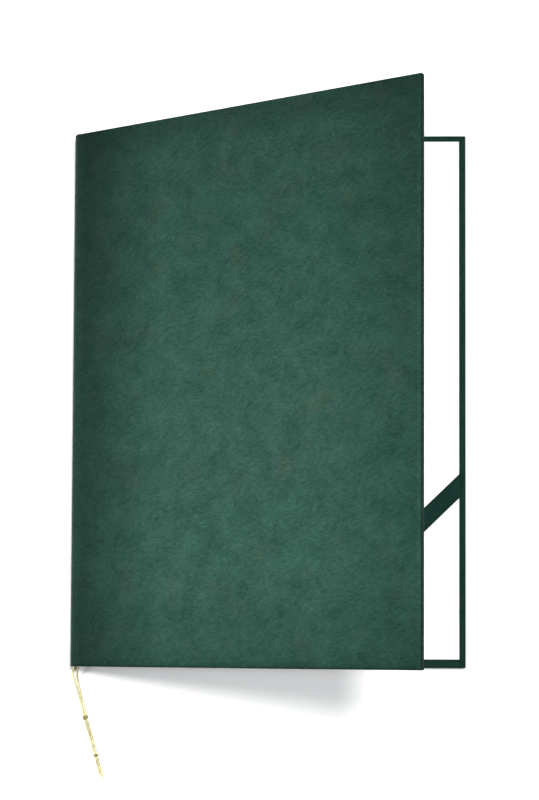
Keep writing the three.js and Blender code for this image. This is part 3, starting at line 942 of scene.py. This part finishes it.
def cover_painted_shade(tree, uv):
    """Painted shade and painted highlight by place on the sheet: the front cover has painted shade along all
    four edges, a painted highlight along a thin line at its fore edge, the back cover and the strap are
    darkest with painted shade, and the strap's edges darker again."""
    apart = add(tree, "ShaderNodeSeparateXYZ")
    tree.links.new(uv, apart.inputs["Vector"])
    across, up = apart.outputs["X"], apart.outputs["Y"]
    # Painted shade along the front cover's edges, with a painted highlight at the spine's joint
    front = total(tree, ranged(tree, across, *SPINE_PAINTED_SHADE, 1.0),
                  ranged(tree, across, JOINT_START, JOINT_FULL, 0.0, JOINT_PAINTED_HIGHLIGHT))
    for value, bands in ((across, FORE_PAINTED_SHADES), (up, HEAD_PAINTED_SHADES), (up, TAIL_PAINTED_SHADES)):
        for band in bands:
            front = math_node(tree, "MULTIPLY", front, ranged(tree, value, *band, 1.0))
    # Painted highlight along the fore edge
    from_painted_highlight = math_node(tree, "ABSOLUTE", math_node(tree, "SUBTRACT", across, PAINTED_HIGHLIGHT_LINE), 0)
    front = math_node(tree, "MULTIPLY", front, ranged(tree, from_painted_highlight, PAINTED_HIGHLIGHT_START, PAINTED_HIGHLIGHT_END, PAINTED_HIGHLIGHT_TONE, 1.0))
    # Painted shade of the back cover and the strap
    behind = ranged(tree, across, BACK_START, BACK_FULL, 0.0, 1.0)
    fall = math_node(tree, "MULTIPLY", math_node(tree, "SUBTRACT", BACK_PAINTED_SHADE, front), behind)
    # On the strap the second sheet coordinate is near zero, and runs across the band from its middle
    on_strap = ranged(tree, up, 0.1, 0.2, 1.0, 0.0)
    from_middle = math_node(tree, "ABSOLUTE", up, 0)
    at_edge = ranged(tree, from_middle, STRAP_EDGE_START, STRAP_EDGE_FULL, 0.0, STRAP_EDGE_FALL)
    edge_fall = math_node(tree, "MULTIPLY", on_strap, at_edge)
    return math_node(tree, "MULTIPLY", total(tree, front, fall), math_node(tree, "SUBTRACT", 1.0, edge_fall))


DRIFT_SCALE = 60
DRIFT = 0.011
LONG_STROKES_TURN = math.radians(-32)
CROSS_STROKES_TURN = math.radians(4)
GRAIN_SCALE = 1500
LEATHERETTE_DARK = (0.0105, 0.035, 0.0245)
LEATHERETTE_PALE = (0.0335, 0.081, 0.060)
WARMTH = {"X": 1.22, "Y": 0.93, "Z": 0.95}


def leatherette(name):
    material, tree, shader = nodes_of(name)
    uv = add(tree, "ShaderNodeUVMap", uv_map="sheet").outputs["UV"]
    drift = add(tree, "ShaderNodeTexNoise")
    drift.inputs["Scale"].default_value = DRIFT_SCALE
    drift.inputs["Detail"].default_value = 2
    tree.links.new(uv, drift.inputs["Vector"])
    wander = add(tree, "ShaderNodeVectorMath", operation="MULTIPLY_ADD")
    tree.links.new(drift.outputs["Color"], wander.inputs[0])
    wander.inputs[1].default_value = (DRIFT, DRIFT, 0)
    tree.links.new(uv, wander.inputs[2])
    moved = wander.outputs["Vector"]
    long_strokes = noise(tree, mapped(tree, moved, LONG_STROKES_TURN, (230, 640, 1)), 1.0,
                         detail=4, roughness=0.62, distortion=0.5)
    cross_strokes = noise(tree, mapped(tree, moved, CROSS_STROKES_TURN, (330, 900, 1)), 1.0,
                          detail=4, roughness=0.62, distortion=0.4)
    patches = noise(tree, moved, 70, detail=3, roughness=0.6)
    grain = noise(tree, uv, GRAIN_SCALE, detail=3, roughness=0.65)
    cells = add(tree, "ShaderNodeTexVoronoi", feature="F1")
    cells.inputs["Scale"].default_value = GRAIN_SCALE
    tree.links.new(uv, cells.inputs["Vector"])
    tone = total(tree, swing(tree, long_strokes, 0.125), swing(tree, patches, 0.15),
                 swing(tree, cross_strokes, 0.18), swing(tree, grain, 0.145), 0.5)
    colour = colour_ramp(tree, tone, LEATHERETTE_DARK, LEATHERETTE_PALE, low_at=0.2, high_at=0.8)
    # The colour is scaled by the covering's painted shade and painted highlight
    shaded = add(tree, "ShaderNodeVectorMath", operation="SCALE")
    tree.links.new(colour, shaded.inputs[0])
    tree.links.new(cover_painted_shade(tree, uv), shaded.inputs["Scale"])
    # Brownish patches
    brown = ranged(tree, noise(tree, moved, 42, detail=2), 0.56, 0.70, 0.0, 1.0)
    warmth = add(tree, "ShaderNodeCombineXYZ")
    for channel, share in WARMTH.items():
        tree.links.new(ranged(tree, brown, 0.0, 1.0, 1.0, share), warmth.inputs[channel])
    warmed = add(tree, "ShaderNodeVectorMath", operation="MULTIPLY")
    tree.links.new(shaded.outputs["Vector"], warmed.inputs[0])
    tree.links.new(warmth.outputs["Vector"], warmed.inputs[1])
    tree.links.new(warmed.outputs["Vector"], shader.inputs["Base Color"])
    tree.links.new(ranged(tree, long_strokes, 0.3, 0.7, 0.56, 0.46), shader.inputs["Roughness"])
    height = total(tree, math_node(tree, "MULTIPLY", grain, 0.5),
                   math_node(tree, "MULTIPLY", long_strokes, 0.6),
                   math_node(tree, "MULTIPLY", cells.outputs["Distance"], 0.35))
    add_bump(tree, shader, height, strength=0.5, distance=0.00012)
    shader.inputs["IOR"].default_value = 1.45
    shader.inputs["Specular IOR Level"].default_value = 0.1
    shader.inputs["Specular Tint"].default_value = (0.2, 1.0, 0.8, 1)
    shader.inputs["Sheen Weight"].default_value = 0.02
    shader.inputs["Sheen Roughness"].default_value = 0.5
    shader.inputs["Sheen Tint"].default_value = (0.45, 0.9, 0.7, 1)
    return material


def card(name, colour):
    material, tree, shader = nodes_of(name)
    place = add(tree, "ShaderNodeTexCoord").outputs["Object"]
    fibres = noise(tree, mapped(tree, place, 0, (900, 1600, 900)), 1.0, detail=4, roughness=0.6)
    clouds = noise(tree, place, 90, detail=3, roughness=0.55)
    tone = total(tree, swing(tree, fibres, 0.5), swing(tree, clouds, 0.4), 0.5)
    darker = tuple(0.965 * c for c in colour)
    tree.links.new(colour_ramp(tree, tone, darker, colour), shader.inputs["Base Color"])
    tree.links.new(ranged(tree, fibres, 0.3, 0.7, 0.62, 0.72), shader.inputs["Roughness"])
    add_bump(tree, shader, fibres, strength=0.25, distance=0.00005)
    shader.inputs["Specular IOR Level"].default_value = 0.35
    return material


def greyboard(name):
    material, tree, shader = nodes_of(name)
    place = add(tree, "ShaderNodeTexCoord").outputs["Object"]
    layers = noise(tree, mapped(tree, place, 0, (150, 150, 2500)), 1.0, detail=4, roughness=0.65)
    specks = noise(tree, place, 1400, detail=2)
    tone = total(tree, swing(tree, layers, 0.35), swing(tree, specks, 0.25, reach=0.15), 0.5)
    colour = colour_ramp(tree, tone, (0.2, 0.185, 0.16), (0.42, 0.4, 0.36))
    tree.links.new(colour, shader.inputs["Base Color"])
    shader.inputs["Roughness"].default_value = 0.92
    add_bump(tree, shader, layers, strength=0.5, distance=0.0001)
    return material


def gold_thread(name, dark, pale):
    material, tree, shader = nodes_of(name)
    uv = add(tree, "ShaderNodeUVMap", uv_map="sheet").outputs["UV"]
    threads = noise(tree, mapped(tree, uv, math.radians(35), (9000, 900, 1)), 1.0, detail=3, roughness=0.6)
    worn = noise(tree, mapped(tree, uv, 0, (300, 260, 1)), 1.0, detail=2)
    tone = total(tree, swing(tree, threads, 0.35), swing(tree, worn, 0.2, reach=0.15), 0.5)
    tree.links.new(colour_ramp(tree, tone, dark, pale), shader.inputs["Base Color"])
    shader.inputs["Metallic"].default_value = 0.75
    tree.links.new(ranged(tree, threads, 0.3, 0.7, 0.28, 0.5), shader.inputs["Roughness"])
    add_bump(tree, shader, threads, strength=0.6, distance=0.00005)
    return material


green = leatherette("green_leatherette")
white = card("white_card", (0.86, 0.86, 0.855))
grey = greyboard("greyboard")
gold = gold_thread("gold_thread", (0.21, 0.18, 0.05), (0.86, 0.79, 0.43))
# The knots use the same gold thread painted darker, as painted shade in their windings
shaded_knot_gold = gold_thread("gold_thread_shaded_for_knots", (0.12, 0.11, 0.025), (0.56, 0.51, 0.20))


def dress(obj, material):
    obj.data.materials.clear()
    obj.data.materials.append(material)


for piece in (back_cloth, front_cloth, spine_piece, strap):
    dress(piece, green)
for piece in (back_card, front_card):
    dress(piece, white)
for piece in (cords["loop"], cords["inner"][0], cords["outer"][0], fringe):
    dress(piece, gold)
for piece in (big_knot, small_knot):
    dress(piece, shaded_knot_gold)
for node in ("back_board", "front_board"):
    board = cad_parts[node]
    for place in board.material_slots:
        place.link = "OBJECT"
        place.material = grey

# What each piece rides on
for piece in (back_cloth, back_card, strap, cords["loop"], cords["inner"][0], cords["outer"][0],
              big_knot, small_knot, fringe):
    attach(piece, "back_cover")
for piece in (front_cloth, front_card):
    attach(piece, "front_cover")

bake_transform(spine_piece)


# Floor and light, in metres
FLOOR_REACH = 6.0
FLOOR_DROP = 0.0001
SUN_DISTANCE = 2


def make_floor():
    mesh = bpy.data.meshes.new("floor")
    corners = [(-FLOOR_REACH, -FLOOR_REACH, 0), (FLOOR_REACH, -FLOOR_REACH, 0),
               (FLOOR_REACH, FLOOR_REACH, 0), (-FLOOR_REACH, FLOOR_REACH, 0)]
    mesh.from_pydata(corners, [], [(0, 1, 2, 3)])
    floor = make_object("floor", mesh)
    floor.location.z = -FLOOR_DROP
    material, tree, shader = nodes_of("pale_floor")
    shader.inputs["Base Color"].default_value = (0.86, 0.87, 0.88, 1)
    shader.inputs["Roughness"].default_value = 0.8
    shader.inputs["Specular IOR Level"].default_value = 0.2
    dress(floor, material)


def sun(name, towards_light, strength, spread, colour=(1, 1, 1)):
    data = bpy.data.lights.new(name, "SUN")
    data.energy = strength
    data.angle = math.radians(spread)
    data.color = colour
    light = bpy.data.objects.new(name, data)
    light.rotation_euler = Vector(towards_light).to_track_quat("Z", "Y").to_euler()
    light.location = Vector(towards_light).normalized() * SUN_DISTANCE
    bpy.context.scene.collection.objects.link(light)


def make_light():
    """A room white near the horizon and grey above, a key from the upper right, a low fill from the left."""
    world = bpy.data.worlds.new("studio")
    bpy.context.scene.world = world
    world.use_nodes = True
    tree = world.node_tree
    height = add(tree, "ShaderNodeSeparateXYZ")
    tree.links.new(add(tree, "ShaderNodeTexCoord").outputs["Generated"], height.inputs["Vector"])
    colour = colour_ramp(tree, height.outputs["Z"], (1.0, 1.0, 1.0), (0.14, 0.142, 0.146), 0.10, 0.45)
    tree.links.new(colour, tree.nodes["Background"].inputs["Color"])
    sun("key", (0.216, 0.256, 0.942), 3.2, 15, (1, 0.99, 0.97))
    sun("left_fill", (-0.85, -0.12, 0.53), 2.3, 24)


make_floor()
make_light()
bpy.context.scene.view_settings.view_transform = "Standard"
bpy.context.scene.view_settings.look = "None"
